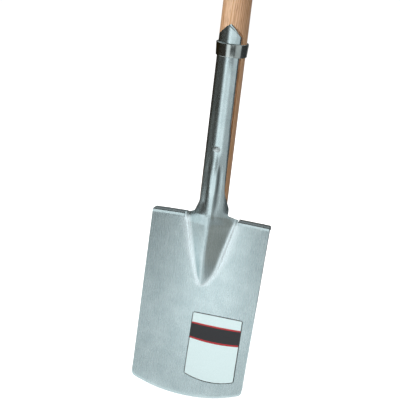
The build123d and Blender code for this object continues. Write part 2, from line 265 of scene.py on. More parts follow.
# The blade's grid: close columns on the ridge, slits and corners, and close rows on the slits and the frog.
RIDGE_STEP, RIDGE_STEPS = 0.7, 16
FACET_STEPS = 20
WING_STEP, WING_STEPS = 3.5, 12
CORNER_INSETS = (5.0, 3.2, 1.7, 0.7, 0.15, 0.0)
SLIT_ROWS = 4
FROG_ROW, FROG_ROWS = 1.5, 74
WING_ROW, WING_ROWS = 5.0, 29
EDGE_ROWS = (4.0, 2.4, 1.2, 0.0)
EDGE_MARGIN = 6.0
ridge_half = RIDGE_STEP * RIDGE_STEPS
half_columns = [RIDGE_STEP * k for k in range(RIDGE_STEPS + 1)]
facet = FLARE_HALF_WIDTH - ridge_half
half_columns += [ridge_half + facet * k / FACET_STEPS for k in range(1, FACET_STEPS + 1)]
half_columns += [SLIT_INNER - SLIT_MARGIN, SLIT_INNER, SLIT_INNER + SLIT_WALL]
half_columns += [SLIT_OUTER - SLIT_WALL, SLIT_OUTER]
half_columns += [SLIT_OUTER + WING_STEP * k for k in range(1, WING_STEPS + 1)]
half_columns += [BLADE_TOP_HALF - inset for inset in CORNER_INSETS]
columns = [-x for x in reversed(half_columns[1:])] + half_columns
rows = [SLIT_DEPTH * k / SLIT_ROWS for k in range(SLIT_ROWS + 1)]
rows += [SLIT_DEPTH + FROG_ROW * k for k in range(1, FROG_ROWS + 1)]
rows += [rows[-1] + WING_ROW * k for k in range(1, WING_ROWS + 1)]
rows = [down for down in rows if down < BLADE_LENGTH - EDGE_MARGIN]
rows += [BLADE_LENGTH - rest for rest in EDGE_ROWS]

bpy.ops.object.select_all(action="DESELECT")
bpy.ops.mesh.primitive_grid_add(x_subdivisions=len(columns) - 1, y_subdivisions=len(rows) - 1, size=2.0)
blade = bpy.context.object
blade.name = "forged_blade"
# Each point stores how much painted highlight lightens the steel's colour there, along the frog's fillet.
highlight_layer = blade.data.attributes.new("painted_fillet_highlight", "FLOAT", "POINT")
for point in blade.data.vertices:
    top_x = columns[round((point.co.x + 1.0) / 2.0 * (len(columns) - 1))]
    row = rows[round((1.0 - point.co.y) / 2.0 * (len(rows) - 1))]
    half = BLADE_TOP_HALF + (BLADE_BOTTOM_HALF - BLADE_TOP_HALF) * min(row / (BLADE_LENGTH - EDGE_BOW), 1.0)
    spread = max(abs(top_x) - FLARE_HALF_WIDTH, 0.0) / (BLADE_TOP_HALF - FLARE_HALF_WIDTH)
    x = math.copysign(min(abs(top_x), FLARE_HALF_WIDTH) + spread * (half - FLARE_HALF_WIDTH), top_x)
    edge_down = cutting_edge(x, half)
    reach = max(row - FROG_LENGTH, 0.0) / (BLADE_LENGTH - FROG_LENGTH)
    down = min(row, FROG_LENGTH) + reach * (edge_down - FROG_LENGTH)
    if abs(top_x) <= SLIT_INNER:
        down -= bend_rise(x) * max(1.0 - row / BEND_FADE, 0.0)
    sunk = SLIT_SUNK if SLIT_INNER < abs(top_x) < SLIT_OUTER and row < SLIT_DEPTH else 0.0
    ground = EDGE_GROUND * (1.0 - min((edge_down - down) / EDGE_BEVEL, 1.0))
    highlight_layer.data[point.index].value = painted_fillet_highlight(x, down)
    point.co = on_blade(x, down, blade_front(x, down) + rib(x, -down - bend_rise(x)) - ground - sunk)


def strap_edge(up, half, on_right):
    """How far out the strap's side lies: flared at its foot, straight, then drawn in to the blunt point."""
    corner = max(1.0 - up / FLARE_CORNER, 0.0) ** 2
    if on_right:
        foot = RIGHT_FOOT * max(1.0 - up / RIGHT_FOOT_HEIGHT, 0.0)
        flare = RIGHT_FLARE * (1.0 - smooth_step(*RIGHT_FLARE_OVER, up)) + foot + RIGHT_CORNER * corner
    else:
        flare = LEFT_FLARE * max(1.0 - up / FLARE_HEIGHT, 0.0) ** LEFT_FLARE_POWER + LEFT_CORNER * corner
    t = min(max((up - (STRAP_LENGTH - STRAP_POINT)) / STRAP_POINT, 0.0), 1.0)
    return half + (FLARE_HALF_WIDTH - half) * flare - (half - STRAP_TIP_HALF) * t


# The strap's grid: its columns meet the blade's at the bend, and its rows close up at the foot and the point.
FLARE_ROWS, FLARE_ROW_POWER = 22, 1.5
RIB_ROWS = 20
STRAIGHT_ROWS = 24
POINT_ROWS, POINT_ROW_POWER = 16, 1.3
straight = STRAP_LENGTH - STRAP_POINT - RIB_END
strap_columns = [x / FLARE_HALF_WIDTH for x in columns if abs(x) <= FLARE_HALF_WIDTH]
strap_rows = [FLARE_HEIGHT * (k / FLARE_ROWS) ** FLARE_ROW_POWER for k in range(FLARE_ROWS + 1)]
strap_rows += [FLARE_HEIGHT + (RIB_END - FLARE_HEIGHT) * k / RIB_ROWS for k in range(1, RIB_ROWS + 1)]
strap_rows += [RIB_END + straight * k / STRAIGHT_ROWS for k in range(1, STRAIGHT_ROWS)]
strap_rows += [STRAP_LENGTH - STRAP_POINT * (1.0 - k / POINT_ROWS) ** POINT_ROW_POWER
               for k in range(POINT_ROWS + 1)]

bpy.ops.object.select_all(action="DESELECT")
bpy.ops.mesh.primitive_grid_add(x_subdivisions=len(strap_columns) - 1, y_subdivisions=len(strap_rows) - 1,
                                size=2.0)
strap = bpy.context.object
for point in strap.data.vertices:
    u = strap_columns[round((point.co.x + 1.0) / 2.0 * (len(strap_columns) - 1))]
    up = strap_rows[round((point.co.y + 1.0) / 2.0 * (len(strap_rows) - 1))]
    right_half = STRAP_RIGHT_HALF - STRAP_DRAWN_IN * smooth_step(*STRAP_DRAWN_IN_OVER, up)
    left_half = STRAP_LEFT_HALF - STRAP_SPREAD * (1.0 - smooth_step(*STRAP_SPREAD_OVER, up))
    reach = strap_edge(up, right_half if u > 0.0 else left_half, u > 0.0)
    x = u * reach
    foot = on_blade(x, -bend_rise(x), bend_front(x)) / MM
    round_y = -math.sqrt(STRAP_RADIUS ** 2 - min(abs(x), STRAP_RADIUS) ** 2)
    settle = smooth_step(0.0, RIB_END, up)
    y = (foot.y - SHAFT_BACK) * (1.0 - settle) + round_y * settle - rib(x, up)
    y += WRAP_CURL * max(x - WRAP_START, 0.0) ** 2 * smooth_step(*WRAP_OVER, up)
    y += ROLLED_CURL * max(x - reach + ROLLED_WIDTH, 0.0) ** 2 * smooth_step(*ROLLED_OVER, up)
    z = foot.z + up - (foot.z - TOP_EDGE) * min(up / RIB_END, 1.0)
    z -= STRAP_TIP_ROUND * u * u * smooth_step(STRAP_LENGTH - STRAP_TIP_ROUNDS_OVER, STRAP_LENGTH, up)
    turn = STRAP_TWIST * smooth_step(FLARE_HEIGHT, RIB_END, up)
    turned_x = x * math.cos(turn) - y * math.sin(turn)
    turned_y = SHAFT_BACK + x * math.sin(turn) + y * math.cos(turn)
    point.co = Vector((turned_x, turned_y, z)) * MM
blade.select_set(True)
bpy.context.view_layer.objects.active = blade
bpy.ops.object.join()
bpy.ops.object.mode_set(mode="EDIT")
bpy.ops.mesh.select_all(action="SELECT")
bpy.ops.mesh.remove_doubles(threshold=SEAM_GAP * MM)
bpy.ops.object.mode_set(mode="OBJECT")
wall = blade.modifiers.new("sheet thickness", "SOLIDIFY")
wall.thickness = SHEET * MM
wall.offset = -1.0
wall.use_even_offset = True
bpy.ops.object.modifier_apply(modifier=wall.name)
edges = blade.modifiers.new("dressed edges", "BEVEL")
edges.width = SHEET_EDGE_ROUND * MM
edges.segments = 2
edges.limit_method = "ANGLE"
edges.angle_limit = SHEET_SHARP_ANGLE
bpy.ops.object.modifier_apply(modifier=edges.name)


def pick_edges(piece, wanted):
    """Goes into edit mode with only the wanted edges selected. Each edge is judged by its two ends."""
    bpy.ops.object.mode_set(mode="EDIT")
    bpy.ops.mesh.select_mode(type="EDGE")
    bpy.ops.mesh.select_all(action="DESELECT")
    bpy.ops.object.mode_set(mode="OBJECT")
    for edge in piece.data.edges:
        edge.select = wanted(*[piece.data.vertices[k].co / MM for k in edge.vertices])
    bpy.ops.object.mode_set(mode="EDIT")


def back_corner(*ends):
    """Whether an edge is the upright one at the tread's outer back corner."""
    outer = all(abs(end.x) > TREAD_OUTER - NEARLY and end.y > TREAD_DEPTH - NEARLY for end in ends)
    return outer and abs(ends[0].z - ends[1].z) > NEARLY


def front_top(*ends):
    """Whether an edge lies along the tread's top at the front."""
    return all(end.y < NEARLY and end.z > TOP_EDGE + TREAD_RISE - NEARLY for end in ends)


for side in (-1.0, 1.0):
    bpy.ops.object.select_all(action="DESELECT")
    bpy.ops.mesh.primitive_cube_add(size=1.0)
    tread = bpy.context.object
    for point in tread.data.vertices:
        x = TREAD_INNER + (point.co.x + 0.5) * (TREAD_OUTER - TREAD_INNER)
        y = (point.co.y + 0.5) * TREAD_DEPTH
        z = TOP_EDGE + TREAD_RISE + (point.co.z - 0.5) * TREAD_THICKNESS
        if point.co.x < 0.0 < point.co.y:
            x -= TREAD_INNER_SKEW
        point.co = Vector((x * side, y, z)) * MM
    bpy.ops.object.mode_set(mode="EDIT")
    bpy.ops.mesh.select_all(action="SELECT")
    bpy.ops.mesh.normals_make_consistent(inside=False)
    pick_edges(tread, back_corner)
    bpy.ops.mesh.bevel(offset=TREAD_BACK_CORNER * MM, segments=6, affect="EDGES")
    for cut in range(TREAD_CUTS):
        bpy.ops.mesh.select_all(action="SELECT")
        along = (TREAD_OUTER - TREAD_INNER - 2.0 * TREAD_CUT_MARGIN) * cut / (TREAD_CUTS - 1)
        at = TREAD_INNER + TREAD_CUT_MARGIN + along
        bpy.ops.mesh.bisect(plane_co=(at * side * MM, 0.0, 0.0), plane_no=(1.0, 0.0, 0.0))
    for inset in TREAD_LIP_CUTS:
        bpy.ops.mesh.select_all(action="SELECT")
        bpy.ops.mesh.bisect(plane_co=(0.0, (TREAD_DEPTH - inset) * MM, 0.0), plane_no=(0.0, 1.0, 0.0))
    bpy.ops.object.mode_set(mode="OBJECT")
    for point in tread.data.vertices:
        on_top = point.co.z > (TOP_EDGE + TREAD_RISE - NEARLY) * MM
        if on_top and point.co.y > (TREAD_DEPTH - TREAD_LIP_WIDTH) * MM:
            point.co.z += TREAD_LIP * MM
    pick_edges(tread, front_top)
    bpy.ops.mesh.bevel(offset=TREAD_FRONT_ROUND * MM, segments=5, affect="EDGES")
    bpy.ops.object.mode_set(mode="OBJECT")
    for point in tread.data.vertices:
        front = BLADE_BEHIND_AXIS + SHAFT_BACK - dish(point.co.x / MM) * math.cos(BLADE_LEAN) - TREAD_PROUD
        point.co.y += front * MM
    rounding = tread.modifiers.new("dressed edges", "BEVEL")
    rounding.width = TREAD_EDGE_ROUND * MM
    rounding.segments = 2
    rounding.limit_method = "ANGLE"
    rounding.angle_limit = TREAD_SHARP_ANGLE
    bpy.ops.object.modifier_apply(modifier=rounding.name)
    blade.select_set(True)
    bpy.context.view_layer.objects.active = blade
    bpy.ops.object.join()
bpy.ops.object.shade_smooth_by_angle(angle=SMOOTH_ANGLE)
even = blade.modifiers.new("even shading", "WEIGHTED_NORMAL")
even.keep_sharp = True
bpy.ops.object.modifier_apply(modifier=even.name)


def linear(code):
    """An sRGB hex colour as Blender's linear red, green, blue and alpha."""
    parts = [int(code[k:k + 2], 16) / 255.0 for k in (1, 3, 5)]
    return [p / 12.92 if p <= 0.04045 else ((p + 0.055) / 1.055) ** 2.4 for p in parts] + [1.0]


def add(tree, kind, settings=(), stops=(), **links):
    """Adds a node. Settings are (socket or property, value) pairs, stops are a colour ramp's (place, hex)
    pairs, and links are socket=(node, output), where i0, i1 and so on stand for a socket's number."""
    node = tree.nodes.new(kind)
    for name, value in settings:
        if isinstance(name, str) and hasattr(node, name):
            setattr(node, name, value)
        else:
            node.inputs[name].default_value = value
    if stops:
        elements = node.color_ramp.elements
        while len(elements) < len(stops):
            elements.new(0.5)
        for element, (place, colour) in zip(elements, stops):
            element.position = place
            element.color = linear(colour)
    for name, (source, output) in links.items():
        socket = int(name[1:]) if name[0] == "i" and name[1:].isdigit() else name.replace("_", " ")
        tree.links.new(source.outputs[output], node.inputs[socket])
    return node


def empty_tree(owner):
    owner.use_nodes = True
    owner.node_tree.nodes.clear()
    return owner.node_tree


def new_material(name):
    material = bpy.data.materials.new(name)
    tree = empty_tree(material)
    shader = add(tree, "ShaderNodeBsdfPrincipled")
    add(tree, "ShaderNodeOutputMaterial", Surface=(shader, "BSDF"))
    return material, tree, shader


# Carbon steel, belt ground and brushed lengthways: a cool grey with soft reflections, fine streaks along the
# blade and faint clouds 18 mm across. A paler line along the frog's fillet is a painted highlight. The brush
# marks are about 0.2 mm wide and are drawn 1 mm wide, so that they show.
satin_steel, tree, shader = new_material("carbon_steel_brushed_satin")
place = add(tree, "ShaderNodeTexCoord")
streak_space = add(tree, "ShaderNodeMapping", [("Scale", (1.0, 0.15, 0.02))], Vector=(place, "Object"))
streaks = add(tree, "ShaderNodeTexNoise", [("Scale", 1000.0), ("Detail", 4.0), ("Roughness", 0.65)],
              Vector=(streak_space, "Vector"))
clouds = add(tree, "ShaderNodeTexNoise", [("Scale", 55.0), ("Detail", 4.0), ("Roughness", 0.6)],
             Vector=(place, "Object"))
streak_tone = add(tree, "ShaderNodeValToRGB", stops=[(0.30, "#BBCDD0"), (0.70, "#C4D6D9")],
                  Fac=(streaks, "Fac"))
cloud_tone = add(tree, "ShaderNodeValToRGB", stops=[(0.30, "#ECEFF0"), (0.72, "#FFFFFF")],
                 Fac=(clouds, "Fac"))
brushed = add(tree, "ShaderNodeMix", [("data_type", "RGBA"), ("blend_type", "MULTIPLY"), (0, 1.0)],
              i6=(streak_tone, "Color"), i7=(cloud_tone, "Color"))
# The painted fillet highlight: the steel's colour is lightened towards a paler grey here.
fillet = add(tree, "ShaderNodeAttribute", [("attribute_name", "painted_fillet_highlight")])
tone = add(tree, "ShaderNodeMix", [("data_type", "RGBA"), (7, linear("#D1E0E4"))],
           i0=(fillet, "Fac"), i6=(brushed, 2))
gloss = add(tree, "ShaderNodeMapRange", [(3, 0.22), (4, 0.32)], Value=(streaks, "Fac"))
relief = add(tree, "ShaderNodeBump", [("Strength", 0.022), ("Distance", 0.0001)], Height=(streaks, "Fac"))
shader.inputs["Metallic"].default_value = 1.0
tree.links.new(tone.outputs[2], shader.inputs["Base Color"])
tree.links.new(gloss.outputs[0], shader.inputs["Roughness"])
tree.links.new(relief.outputs[0], shader.inputs["Normal"])
blade.data.materials.clear()
blade.data.materials.append(satin_steel)
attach(blade, "root")
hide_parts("blade")


# Shaft: straight-grained ash, turned round, rebated for the strap and tapered to its tenon, then sanded and
# waxed. Its lower end sits in the frog. The CAD solid has its shape, so it stays and takes the wood's finish.
ASH_COLOURS = ("#E0BB98", "#C89A6B", "#9E7048")
ASH_RING = 3.0
PITH_ASIDE = (31.0 * MM, 18.0 * MM, 0.0)
RINGS_SWAY = 3.2


def wood(name, turn, colours, ring):
    """Wood with growth rings, sanded and waxed: pale late wood between darker lines of early wood with open
    pores, drawn out along the grain. Pores 0.3 mm wide are drawn 0.8 mm wide, so that they show."""
    pale, tan, pore = colours
    material, tree, shader = new_material(name)
    place = add(tree, "ShaderNodeTexCoord")
    stem = add(tree, "ShaderNodeMapping", [("Location", PITH_ASIDE), ("Rotation", turn)],
               Vector=(place, "Object"))
    drawn = add(tree, "ShaderNodeMapping", [("Scale", (1.0, 1.0, 0.035))], Vector=(stem, "Vector"))
    sway = add(tree, "ShaderNodeTexNoise", [("Scale", 70.0), ("Detail", 3.0), ("Roughness", 0.55)],
               Vector=(drawn, "Vector"))
    flat = add(tree, "ShaderNodeMapping", [("Scale", (1.0, 1.0, 0.0))], Vector=(stem, "Vector"))
    radius = add(tree, "ShaderNodeVectorMath", [("operation", "LENGTH")], Vector=(flat, "Vector"))
    rings = add(tree, "ShaderNodeMath", [("operation", "MULTIPLY"), (1, 1.0 / (ring * MM))],
                i0=(radius, "Value"))
    bent = add(tree, "ShaderNodeMath", [("operation", "MULTIPLY_ADD"), (1, RINGS_SWAY)],
               i0=(sway, "Fac"), i2=(rings, 0))
    year = add(tree, "ShaderNodeMath", [("operation", "FRACT")], i0=(bent, 0))
    ring_tone = add(tree, "ShaderNodeValToRGB",
                    stops=[(0.0, tan), (0.22, tan), (0.50, pale), (0.93, pale), (1.0, tan)], Fac=(year, 0))
    pore_space = add(tree, "ShaderNodeMapping", [("Scale", (1.0, 1.0, 0.045))], Vector=(stem, "Vector"))
    pores = add(tree, "ShaderNodeTexNoise", [("Scale", 1250.0), ("Detail", 2.0), ("Roughness", 0.5)],
                Vector=(pore_space, "Vector"))
    open_pores = add(tree, "ShaderNodeMapRange", [(1, 0.52), (2, 0.72)], Value=(pores, "Fac"))
    blush_space = add(tree, "ShaderNodeMapping", [("Scale", (1.0, 1.0, 0.12))], Vector=(stem, "Vector"))
    blush = add(tree, "ShaderNodeTexNoise", [("Scale", 45.0), ("Detail", 3.0)],
                Vector=(blush_space, "Vector"))
    blush_tone = add(tree, "ShaderNodeValToRGB", stops=[(0.32, "#F1E6DC"), (0.66, "#FFFFFF")],
                     Fac=(blush, "Fac"))
    pored = add(tree, "ShaderNodeMix", [("data_type", "RGBA"), (7, linear(pore))],
                i0=(open_pores, 0), i6=(ring_tone, "Color"))
    tone = add(tree, "ShaderNodeMix", [("data_type", "RGBA"), ("blend_type", "MULTIPLY"), (0, 1.0)],
               i6=(pored, 2), i7=(blush_tone, "Color"))
    gloss = add(tree, "ShaderNodeMapRange", [(3, 0.42), (4, 0.62)], Value=(open_pores, 0))
    relief = add(tree, "ShaderNodeBump", [("Strength", 0.25), ("Distance", 0.0002), ("invert", True)],
                 Height=(open_pores, 0))
    shader.inputs["IOR"].default_value = 1.5
    shader.inputs["Coat Weight"].default_value = 0.5
    shader.inputs["Coat Roughness"].default_value = 0.35
    tree.links.new(tone.outputs[2], shader.inputs["Base Color"])
    tree.links.new(gloss.outputs[0], shader.inputs["Roughness"])
    tree.links.new(relief.outputs[0], shader.inputs["Normal"])
    return material


# Ash, sanded along the shaft: a pale tan with long, nearly straight lines and a soft wax gloss.
shaft_ash = wood("ash_sanded_along_shaft", (0.02, -0.015, 0.0), ASH_COLOURS, ASH_RING)
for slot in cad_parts["shaft"].material_slots:
    slot.material = shaft_ash


# Clamp ring: a band of drawn steel tube, its lips rolled round, driven down over strap and shaft. It is
# darker and glossier than the blade, and a nail at the back keeps it in place.
RING_TOP_RADIUS = 23.6
RING_BOTTOM_RADIUS = 22.3
RING_WALL = 1.8
RING_LOW = 505.88
RING_HIGH = 525.8
RING_SIDES = 128
RING_LIP_WIDTH = 1.3
RING_LIP_ROUND = 1.0
RING_LIP_TURNED_IN = 0.9
RING_SHARP_ANGLE = math.radians(50.0)
RING_SMOOTH_ANGLE = math.radians(40.0)
bpy.ops.object.select_all(action="DESELECT")
bpy.ops.mesh.primitive_cylinder_add(vertices=RING_SIDES, radius=RING_TOP_RADIUS * MM,
                                    depth=(RING_HIGH - RING_LOW) * MM, end_fill_type="NOTHING",
                                    location=(0.0, SHAFT_BACK * MM, (RING_HIGH + RING_LOW) / 2.0 * MM))
ring = bpy.context.object
ring.name = "strap_ring"
bpy.ops.object.transform_apply(location=True, rotation=True, scale=True)
for point in ring.data.vertices:
    if point.co.z < (RING_LOW + RING_LIP_WIDTH) * MM:
        point.co.x *= RING_BOTTOM_RADIUS / RING_TOP_RADIUS
        from_axis = point.co.y - SHAFT_BACK * MM
        point.co.y = SHAFT_BACK * MM + from_axis * RING_BOTTOM_RADIUS / RING_TOP_RADIUS
bpy.ops.object.mode_set(mode="EDIT")
for height in (RING_LOW + RING_LIP_WIDTH, RING_HIGH - RING_LIP_WIDTH):
    bpy.ops.mesh.select_all(action="SELECT")
    bpy.ops.mesh.bisect(plane_co=(0.0, 0.0, height * MM), plane_no=(0.0, 0.0, 1.0))
bpy.ops.object.mode_set(mode="OBJECT")
turned_in = 1.0 - RING_LIP_TURNED_IN / RING_TOP_RADIUS
for point in ring.data.vertices:
    if point.co.z > (RING_HIGH - NEARLY) * MM:
        point.co.x *= turned_in
        point.co.y = SHAFT_BACK * MM + (point.co.y - SHAFT_BACK * MM) * turned_in
wall = ring.modifiers.new("band thickness", "SOLIDIFY")
wall.thickness = RING_WALL * MM
wall.offset = -1.0
bpy.ops.object.modifier_apply(modifier=wall.name)
lips = ring.modifiers.new("rolled lips", "BEVEL")
lips.width = RING_LIP_ROUND * MM
lips.segments = 5
lips.limit_method = "ANGLE"
lips.angle_limit = RING_SHARP_ANGLE
bpy.ops.object.modifier_apply(modifier=lips.name)
bpy.ops.object.shade_smooth_by_angle(angle=RING_SMOOTH_ANGLE)
even = ring.modifiers.new("even shading", "WEIGHTED_NORMAL")
bpy.ops.object.modifier_apply(modifier=even.name)

# Drawn steel with its dark skin left on, oiled: it mirrors the room in clear bands, with faint draw lines
# round it and 6 mm clouds in the skin. The lines are about 0.2 mm wide and are drawn 1.1 mm wide, to show.
ring_steel, tree, shader = new_material("drawn_steel_dark_oiled")
place = add(tree, "ShaderNodeTexCoord")
line_space = add(tree, "ShaderNodeMapping", [("Scale", (0.05, 0.05, 1.0))], Vector=(place, "Object"))
lines = add(tree, "ShaderNodeTexNoise", [("Scale", 900.0), ("Detail", 3.0)], Vector=(line_space, "Vector"))
skin = add(tree, "ShaderNodeTexNoise", [("Scale", 160.0), ("Detail", 4.0)], Vector=(place, "Object"))
tone = add(tree, "ShaderNodeValToRGB", stops=[(0.30, "#A2ADAC"), (0.70, "#AFBAB9")], Fac=(skin, "Fac"))
gloss = add(tree, "ShaderNodeMapRange", [(3, 0.13), (4, 0.21)], Value=(lines, "Fac"))
relief = add(tree, "ShaderNodeBump", [("Strength", 0.05), ("Distance", 0.0001)], Height=(lines, "Fac"))
shader.inputs["Metallic"].default_value = 1.0
tree.links.new(tone.outputs["Color"], shader.inputs["Base Color"])
tree.links.new(gloss.outputs[0], shader.inputs["Roughness"])
tree.links.new(relief.outputs[0], shader.inputs["Normal"])
ring.data.materials.append(ring_steel)
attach(ring, "root")
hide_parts("clamp_ring")


# Rivet, its washer, the ring's nail and the grip's pin: bright steel fasteners, cold headed and hammered
# home. Their CAD solids have the shapes, so they stay and take the finish.
# Bright steel, cold headed: a pale, soft shine with shallow hammer dents 2.4 mm across and specks of grime.
fastener_steel, tree, shader = new_material("bright_steel_cold_headed")
place = add(tree, "ShaderNodeTexCoord")
dents = add(tree, "ShaderNodeTexNoise", [("Scale", 420.0), ("Detail", 2.0)], Vector=(place, "Object"))
grime = add(tree, "ShaderNodeTexNoise", [("Scale", 900.0), ("Detail", 3.0)], Vector=(place, "Object"))
tone = add(tree, "ShaderNodeValToRGB", stops=[(0.30, "#C2CFD2"), (0.70, "#D3DFE1")], Fac=(grime, "Fac"))
gloss = add(tree, "ShaderNodeMapRange", [(3, 0.48), (4, 0.58)], Value=(grime, "Fac"))
relief = add(tree, "ShaderNodeBump", [("Strength", 0.018), ("Distance", 0.0004)], Height=(dents, "Fac"))
shader.inputs["Metallic"].default_value = 1.0
tree.links.new(tone.outputs["Color"], shader.inputs["Base Color"])
tree.links.new(gloss.outputs[0], shader.inputs["Roughness"])
tree.links.new(relief.outputs[0], shader.inputs["Normal"])
for name in ("strap_rivet", "rivet_washer", "ring_nail", "grip_pin"):
    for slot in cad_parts[name].material_slots:
        slot.material = fastener_steel


# T-grip: a turned ash crossbar bored for the shaft's tenon, which a hardwood wedge spreads from above.
# Their CAD solids have the shapes, so they stay and take the finish.
WEDGE_COLOURS = ("#8A5F3D", "#6E4728", "#4A2E18")
WEDGE_RING = 1.6
# Ash, sanded along the crossbar: as the shaft, with the grain running from arm to arm.
grip_ash = wood("ash_sanded_along_grip", (0.0, math.radians(90.0), 0.02), ASH_COLOURS, ASH_RING)
# Walnut, split to a wedge and sanded off: a dark line across the pale tenon.
wedge_wood = wood("walnut_split_wedge", (0.0, 0.0, 0.4), WEDGE_COLOURS, WEDGE_RING)
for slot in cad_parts["grip_bar"].material_slots:
    slot.material = grip_ash
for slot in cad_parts["grip_wedge"].material_slots:
    slot.material = wedge_wood


# Label: a coated paper sticker with a bowed foot and a plain printed band, with a thin dark line painted round
# its edge for the shadow there. It is glued to the blade's dish, right of the middle.
LABEL_CENTRE = 31.5
LABEL_WIDTH = 77.0
LABEL_TOP = 139.5
LABEL_SIDE = 232.5
LABEL_BOW = 7.5
LABEL_CORNER = 1.5
LABEL_GLUE = 0.1
LABEL_PAPER = 0.3
LABEL_MEAN_HEIGHT = 98.0
LABEL_COLUMNS = 40
LABEL_ROWS = 48
LABEL_SMOOTH_ANGLE = math.radians(40.0)
# Width of the painted shadow round the label's edge.
EDGE_SHADOW_WIDTH = 1.2
BAND_LOW = 0.58
BAND_LOW_LINE = 0.605
BAND_HIGH_LINE = 0.815
BAND_HIGH = 0.84
bpy.ops.object.select_all(action="DESELECT")
bpy.ops.mesh.primitive_grid_add(x_subdivisions=LABEL_COLUMNS, y_subdivisions=LABEL_ROWS, size=2.0)
label = bpy.context.object
label.name = "paper_label"
for point in label.data.vertices:
    along = point.co.x * LABEL_WIDTH / 2.0
    x = LABEL_CENTRE + along
    into = max(abs(along) - (LABEL_WIDTH / 2.0 - LABEL_CORNER), 0.0)
    cut = LABEL_CORNER - math.sqrt(max(LABEL_CORNER ** 2 - into * into, 0.0))
    foot = LABEL_SIDE + LABEL_BOW * (1.0 - point.co.x ** 2) - cut
    head = LABEL_TOP + cut
    down = head + (1.0 - point.co.y) / 2.0 * (foot - head)
    point.co = on_blade(x, down, dish(x) + LABEL_GLUE + LABEL_PAPER)
paper = label.modifiers.new("paper thickness", "SOLIDIFY")
paper.thickness = LABEL_PAPER * MM
paper.offset = -1.0
bpy.ops.object.modifier_apply(modifier=paper.name)
bpy.ops.object.shade_smooth_by_angle(angle=LABEL_SMOOTH_ANGLE)

# Coated paper, offset printed: a cool white with a soft gloss and a faint tooth, which is about 0.1 mm wide
# and is drawn 1.1 mm wide, so that it shows.
label_film, tree, shader = new_material("coated_paper_printed")
uv = add(tree, "ShaderNodeUVMap", [("uv_map", label.data.uv_layers[0].name)])
axes = add(tree, "ShaderNodeSeparateXYZ", Vector=(uv, "UV"))
place = add(tree, "ShaderNodeTexCoord")
tooth = add(tree, "ShaderNodeTexNoise", [("Scale", 900.0), ("Detail", 3.0)], Vector=(place, "Object"))
paper_tone = add(tree, "ShaderNodeValToRGB", stops=[(0.35, "#DAF0F1"), (0.70, "#E3F7F8")],
                 Fac=(tooth, "Fac"))
side = add(tree, "ShaderNodeMath", [("operation", "PINGPONG"), (1, 0.5)], i0=(axes, "X"))
end = add(tree, "ShaderNodeMath", [("operation", "PINGPONG"), (1, 0.5)], i0=(axes, "Y"))
# These nodes mark where the painted shadow runs round the label's edge.
near_side = add(tree, "ShaderNodeMath", [("operation", "LESS_THAN"), (1, EDGE_SHADOW_WIDTH / LABEL_WIDTH)],
                i0=(side, 0))
near_end = add(tree, "ShaderNodeMath", [("operation", "LESS_THAN"), (1, EDGE_SHADOW_WIDTH / LABEL_MEAN_HEIGHT)],
               i0=(end, 0))
painted_edge_shadow = add(tree, "ShaderNodeMath", [("operation", "MAXIMUM")], i0=(near_side, 0), i1=(near_end, 0))
band = add(tree, "ShaderNodeValToRGB",
           stops=[(0.0, "#000000"), (BAND_LOW, "#B5242C"), (BAND_LOW_LINE, "#1D2024"),
                  (BAND_HIGH_LINE, "#B5242C"), (BAND_HIGH, "#000000")], Fac=(axes, "Y"))
band.color_ramp.interpolation = "CONSTANT"
above = add(tree, "ShaderNodeMath", [("operation", "GREATER_THAN"), (1, BAND_LOW)], i0=(axes, "Y"))
below = add(tree, "ShaderNodeMath", [("operation", "LESS_THAN"), (1, BAND_HIGH)], i0=(axes, "Y"))
in_band = add(tree, "ShaderNodeMath", [("operation", "MULTIPLY")], i0=(above, 0), i1=(below, 0))
printed = add(tree, "ShaderNodeMix", [("data_type", "RGBA")],
              i0=(in_band, 0), i6=(paper_tone, "Color"), i7=(band, "Color"))
# The thin dark line round the label's edge is a painted shadow.
edge_shadowed = add(tree, "ShaderNodeMix", [("data_type", "RGBA"), (7, linear("#22292B"))],
               i0=(painted_edge_shadow, 0), i6=(printed, 2))
gloss = add(tree, "ShaderNodeMapRange", [(3, 0.34), (4, 0.44)], Value=(tooth, "Fac"))
relief = add(tree, "ShaderNodeBump", [("Strength", 0.08), ("Distance", 0.0001)], Height=(tooth, "Fac"))
shader.inputs["IOR"].default_value = 1.5
tree.links.new(edge_shadowed.outputs[2], shader.inputs["Base Color"])
tree.links.new(gloss.outputs[0], shader.inputs["Roughness"])
tree.links.new(relief.outputs[0], shader.inputs["Normal"])
label.data.materials.append(label_film)
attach(label, "root")
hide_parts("label")


# Floor: a wide studio floor, painted white, that the spade stands on. It shows white to the camera and in the
# metal, keeps a faint soft shadow, and throws little light up on the object.
FLOOR_SIZE = 40000.0
FLOOR_HEIGHT = -0.6
FLOOR_SEEN = 0.75
FLOOR_MIRRORED = 0.97
WHITE = linear("#FFFFFF")
bpy.ops.object.select_all(action="DESELECT")
bpy.ops.mesh.primitive_plane_add(size=FLOOR_SIZE * MM, location=(0.0, 0.0, FLOOR_HEIGHT * MM))
floor = bpy.context.object
floor.name = "studio_floor"
bpy.ops.object.transform_apply(location=True, rotation=True, scale=True)
pale_floor = bpy.data.materials.new("studio_floor_painted_white")
tree = empty_tree(pale_floor)
rays = add(tree, "ShaderNodeLightPath")
mirrored = add(tree, "ShaderNodeMath", [("operation", "MAXIMUM")],
               i0=(rays, "Is Glossy Ray"), i1=(rays, "Is Transmission Ray"))
seen = add(tree, "ShaderNodeMath", [("operation", "MULTIPLY"), (1, FLOOR_SEEN)], i0=(rays, "Is Camera Ray"))
glow_level = add(tree, "ShaderNodeMath", [("operation", "MULTIPLY_ADD"), (1, FLOOR_MIRRORED)],
                 i0=(mirrored, 0), i2=(seen, 0))
glow = add(tree, "ShaderNodeEmission", [("Color", WHITE)], Strength=(glow_level, 0))
